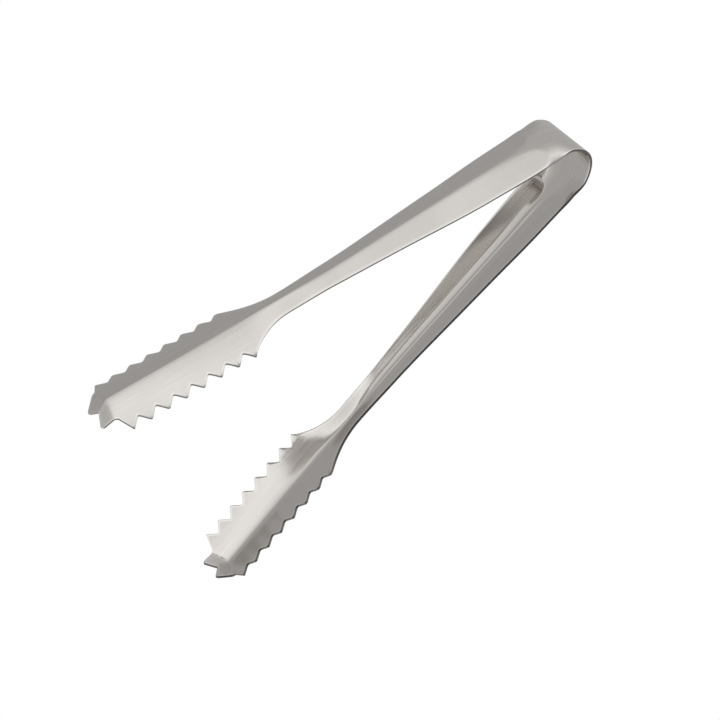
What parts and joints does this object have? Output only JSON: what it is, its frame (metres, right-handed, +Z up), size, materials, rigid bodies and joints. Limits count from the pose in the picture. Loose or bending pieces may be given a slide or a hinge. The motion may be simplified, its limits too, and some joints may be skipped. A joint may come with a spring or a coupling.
{
  "type": "ice tongs",
  "caption": "Spring ice tongs pressed from one steel strip: flat U-shaped bow, V-section arms, flared serrated scoop jaws with claw ends bent inwards.",
  "frame": {"origin": "middle of the base, with the tongs lying on their side on the tips of the teeth of both scoops", "axes": "+X from the spring bow towards the claws, +Y towards the left arm, +Z up, across the strip's width"},
  "size_m": [0.1806, 0.1088, 0.0231],
  "materials": {
    "stainless_steel": "satin on the outside, polished on the inside"
  },
  "bodies": {
    "bow": {"spring_bow": "stainless_steel"},
    "left": {"left_arm": "stainless_steel"},
    "right": {"right_arm": "stainless_steel"}
  },
  "joints": [
    {"name": "left_arm_squeeze", "type": "hinge", "parent": "bow", "child": "left", "pos_m": [-0.08493, 0.00756, 0.01157], "axis": [0, 0, -1], "range_deg": [-2, 15.5], "stiffness_Nm_per_rad": 6},
    {"name": "right_arm_squeeze", "type": "hinge", "parent": "bow", "child": "right", "pos_m": [-0.08493, -0.00756, 0.01157], "axis": [0, 0, 1], "range_deg": [-2, 15.5], "stiffness_Nm_per_rad": 6}
  ],
  "couplings": [
    {"joint": "right_arm_squeeze", "follows": "left_arm_squeeze", "ratio": 1}
  ]
}
